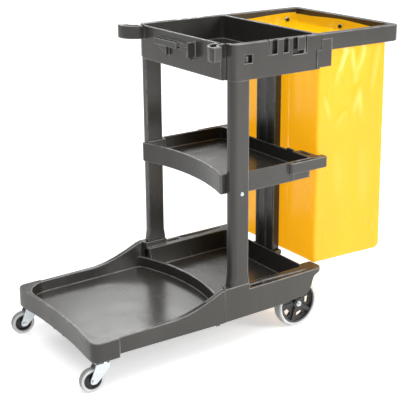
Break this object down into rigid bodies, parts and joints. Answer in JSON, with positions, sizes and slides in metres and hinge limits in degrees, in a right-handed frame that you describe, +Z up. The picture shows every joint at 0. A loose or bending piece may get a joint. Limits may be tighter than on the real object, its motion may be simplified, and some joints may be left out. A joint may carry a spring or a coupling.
{
  "type": "cleaning cart",
  "caption": "Wheeled cleaning cart with a low front platform, a tub, a shelf, a top tray and a hanging vinyl waste bag.",
  "frame": {"origin": "on the floor under the middle of the whole object's box, casters included", "axes": "+X from the front platform towards the bag, +Z up, +Y towards the right side of a person who pushes from the bag end"},
  "size_m": [1.2001, 0.55, 0.975],
  "materials": {
    "grey_plastic": "dark grey moulded structural plastic, satin to glossy with a fine moulded grain",
    "black_plastic": "black moulded nylon, satin",
    "yellow_vinyl": "yellow flexible vinyl sheet, soft gloss with creases",
    "tyre_grey": "light grey non-marking rubber, matt",
    "zinc": "bright zinc plated steel",
    "axle_steel": "drawn steel rod"
  },
  "bodies": {
    "cart_body": {"front_platform": "grey_plastic", "rear_tub": "grey_plastic", "rear_post": "grey_plastic", "middle_shelf": "grey_plastic", "top_tray": "grey_plastic", "bag_frame": "grey_plastic", "left_post": "grey_plastic", "right_post": "grey_plastic", "waste_bag": "yellow_vinyl", "axle_rod": "axle_steel", "left_bag_peg": "black_plastic", "right_bag_peg": "black_plastic", "rear_bag_peg": "black_plastic", "front_left_bag_peg": "black_plastic", "front_right_bag_peg": "black_plastic", "left_bag_grommet": "zinc", "right_bag_grommet": "zinc", "rear_bag_grommet": "zinc", "front_left_bag_grommet": "zinc", "front_right_bag_grommet": "zinc", "left_shelf_bolt": "zinc", "left_shelf_nut": "zinc", "left_joint_bolt": "zinc", "left_joint_nut": "zinc", "left_push_nut": "zinc", "left_wheel_washer": "zinc", "left_caster_stem": "zinc", "right_shelf_bolt": "zinc", "right_shelf_nut": "zinc", "right_joint_bolt": "zinc", "right_joint_nut": "zinc", "right_push_nut": "zinc", "right_wheel_washer": "zinc", "right_caster_stem": "zinc"},
    "left_caster_swivel_body": {"left_caster_fork": "zinc", "left_caster_race": "zinc", "left_caster_axle": "zinc", "left_caster_nut": "zinc"},
    "left_caster_wheel_body": {"left_caster_hub": "black_plastic", "left_caster_tyre": "tyre_grey"},
    "left_rear_wheel_body": {"left_rear_hub": "black_plastic", "left_rear_tyre": "tyre_grey"},
    "right_caster_swivel_body": {"right_caster_fork": "zinc", "right_caster_race": "zinc", "right_caster_axle": "zinc", "right_caster_nut": "zinc"},
    "right_caster_wheel_body": {"right_caster_hub": "black_plastic", "right_caster_tyre": "tyre_grey"},
    "right_rear_wheel_body": {"right_rear_hub": "black_plastic", "right_rear_tyre": "tyre_grey"}
  },
  "joints": [
    {"name": "left_caster_swivel", "type": "hinge", "parent": "cart_body", "child": "left_caster_swivel_body", "pos_m": [-0.53016, -0.235, 0.09], "axis": [0, 0, 1], "continuous": true},
    {"name": "left_caster_wheel", "type": "hinge", "parent": "left_caster_swivel_body", "child": "left_caster_wheel_body", "pos_m": [-0.56184, -0.23055, 0.038], "axis": [0.1392, 0.9903, 0], "continuous": true},
    {"name": "left_rear_wheel", "type": "hinge", "parent": "cart_body", "child": "left_rear_wheel_body", "pos_m": [0.20384, -0.233, 0.08], "axis": [0, 1, 0], "continuous": true},
    {"name": "right_caster_swivel", "type": "hinge", "parent": "cart_body", "child": "right_caster_swivel_body", "pos_m": [-0.53016, 0.235, 0.09], "axis": [0, 0, 1], "continuous": true},
    {"name": "right_caster_wheel", "type": "hinge", "parent": "right_caster_swivel_body", "child": "right_caster_wheel_body", "pos_m": [-0.56184, 0.23945, 0.038], "axis": [0.1392, 0.9903, 0], "continuous": true},
    {"name": "right_rear_wheel", "type": "hinge", "parent": "cart_body", "child": "right_rear_wheel_body", "pos_m": [0.20384, 0.233, 0.08], "axis": [0, 1, 0], "continuous": true}
  ]
}
